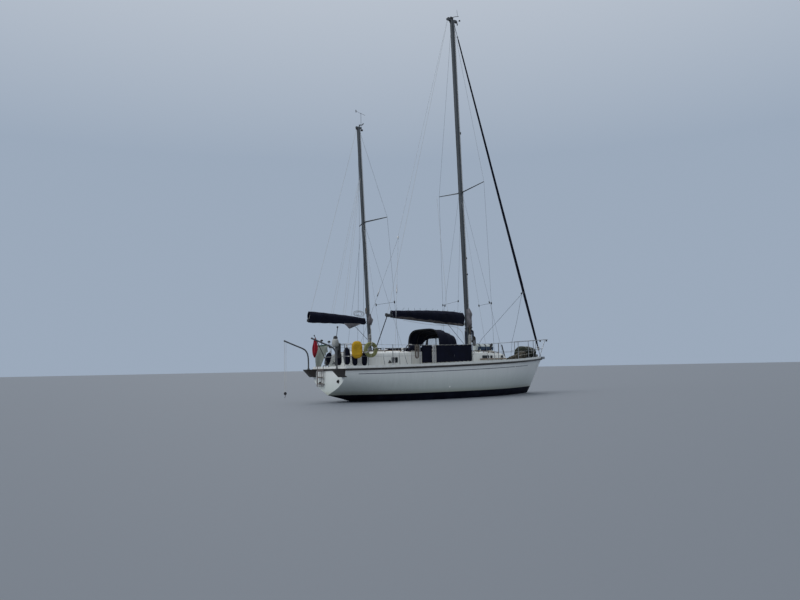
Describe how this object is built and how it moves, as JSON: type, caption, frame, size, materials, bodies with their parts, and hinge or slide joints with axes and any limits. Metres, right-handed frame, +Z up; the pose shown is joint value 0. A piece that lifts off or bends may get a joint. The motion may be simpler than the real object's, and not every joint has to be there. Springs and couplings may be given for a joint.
{
  "type": "sailing yacht, centre-cockpit ketch",
  "caption": "Centre-cockpit ketch with a fin keel, two masts, stowed sails under covers, sprayhood, dodgers, guardrails, stern davits and boarding ladder.",
  "frame": {"origin": "amidships on the centreline at the waterline", "axes": "+X to the bow, +Y to port, +Z up"},
  "size_m": [12.3854, 3.5312, 17.495],
  "materials": {
    "gelcoat": "weathered white gelcoat",
    "antifouling": "matt dark navy bottom paint",
    "keel_iron": "painted matt dark navy",
    "dark_wood": "dark weathered hardwood",
    "navy_canvas": "matt navy acrylic canvas",
    "anodised": "dull anodised, weathered buff grey",
    "stainless": "polished stainless steel",
    "dark_steel": "dark grey painted tube",
    "wire": "stranded stainless wire",
    "black_plastic": "black moulded plastic",
    "bronze": "dull cast bronze",
    "engine_paint": "grey-blue engine paint",
    "yellow_cloth": "faded yellow cloth cover",
    "green_rope": "yellow-green floating rope",
    "red_cloth": "dark red bunting",
    "pale_rope": "pale braided rope",
    "pale_canvas": "pale grey canvas",
    "olive_canvas": "dark olive canvas"
  },
  "bodies": {
    "yacht": {"hull": "gelcoat", "deck": "gelcoat", "engine_block": "engine_paint", "rubbing_strake": "dark_wood", "toe_rail": "gelcoat", "fin_keel": "keel_iron", "rudder_skeg": "antifouling", "propeller_strut": "bronze", "forward_coachroof": "gelcoat", "aft_coachroof": "gelcoat", "cockpit_coaming": "gelcoat", "companionway_washboard": "dark_wood", "sprayhood": "navy_canvas", "pushpit": "stainless", "pulpit": "stainless", "guardrail_port": "stainless", "guardrail_starboard": "stainless", "dodger_aft_port": "navy_canvas", "dodger_long_port": "navy_canvas", "dodger_aft_starboard": "navy_canvas", "dodger_long_starboard": "navy_canvas", "main_mast": "anodised", "main_spreaders": "anodised", "mizzen_mast": "anodised", "mizzen_spreaders": "anodised", "main_backstay": "wire", "backstay_leg_port": "wire", "backstay_leg_starboard": "wire", "main_shroud_port": "wire", "main_shroud_starboard": "wire", "mizzen_shroud_port": "wire", "mizzen_shroud_starboard": "wire", "furled_genoa": "navy_canvas", "stemhead_roller": "stainless", "furling_drum": "stainless", "helm_pedestal": "gelcoat", "davit_port": "dark_steel", "davit_starboard": "dark_steel", "boarding_ladder": "stainless", "davit_fall": "pale_rope", "davit_block": "black_plastic", "fenders": "navy_canvas", "lifebuoy": "yellow_cloth", "rope_coil": "green_rope", "deck_canister": "pale_canvas", "sail_bag": "olive_canvas", "ensign": "red_cloth"},
    "main_boom_and_sail": {"main_boom": "anodised", "main_sail_cover": "navy_canvas"},
    "mizzen_boom_and_sail": {"mizzen_boom": "anodised", "mizzen_sail_cover": "navy_canvas"},
    "rudder_blade": {"rudder": "antifouling"},
    "helm": {"steering_wheel": "stainless"},
    "screw": {"propeller": "bronze"},
    "vane": {"wind_vane": "black_plastic"},
    "sliding_hatch": {"companionway_hatch": "gelcoat"},
    "fore_hatch_lid": {"fore_hatch": "gelcoat"},
    "aft_hatch_lid": {"aft_hatch": "gelcoat"},
    "ladder_foot": {"ladder_lower_section": "stainless"}
  },
  "joints": [
    {"name": "main_gooseneck", "type": "hinge", "parent": "yacht", "child": "main_boom_and_sail", "pos_m": [0.96, 0, 2.89], "axis": [-0.028, 0, 0.9996], "range_deg": [-60, 60]},
    {"name": "mizzen_gooseneck", "type": "hinge", "parent": "yacht", "child": "mizzen_boom_and_sail", "pos_m": [-3.825, 0, 2.84], "axis": [-0.0449, 0, 0.999], "range_deg": [-60, 60]},
    {"name": "rudder_stock", "type": "hinge", "parent": "yacht", "child": "rudder_blade", "pos_m": [-4.25, 0, -0.5], "axis": [0, 0, 1], "range_deg": [-35, 35]},
    {"name": "wheel_spindle", "type": "hinge", "parent": "yacht", "child": "helm", "pos_m": [-1.83, 0, 1.7], "axis": [1, 0, 0], "range_deg": [-440, 440]},
    {"name": "propeller_shaft", "type": "hinge", "parent": "yacht", "child": "screw", "pos_m": [-3.12, 0, -0.69], "axis": [0.995, 0, 0.0995], "continuous": true},
    {"name": "vane_pivot", "type": "hinge", "parent": "yacht", "child": "vane", "pos_m": [-3.92125, 0, 10.73], "axis": [0, 0, 1], "continuous": true},
    {"name": "companionway_slide", "type": "slide", "parent": "yacht", "child": "sliding_hatch", "axis": [0.9994, 0, -0.0342], "range_m": [0, 0.6]},
    {"name": "fore_hatch_hinge", "type": "hinge", "parent": "yacht", "child": "fore_hatch_lid", "pos_m": [3.072, 0, 1.46], "axis": [0, -1, 0], "range_deg": [0, 100]},
    {"name": "aft_hatch_hinge", "type": "hinge", "parent": "yacht", "child": "aft_hatch_lid", "pos_m": [-3.995, 0, 1.79], "axis": [0, 1, 0], "range_deg": [0, 90]},
    {"name": "ladder_hinge", "type": "hinge", "parent": "yacht", "child": "ladder_foot", "pos_m": [-5.51, 0.45, 0.567], "axis": [0, -1, 0], "range_deg": [0, 175]}
  ],
  "couplings": [
    {"joint": "wheel_spindle", "follows": "rudder_stock", "ratio": 12.57}
  ]
}
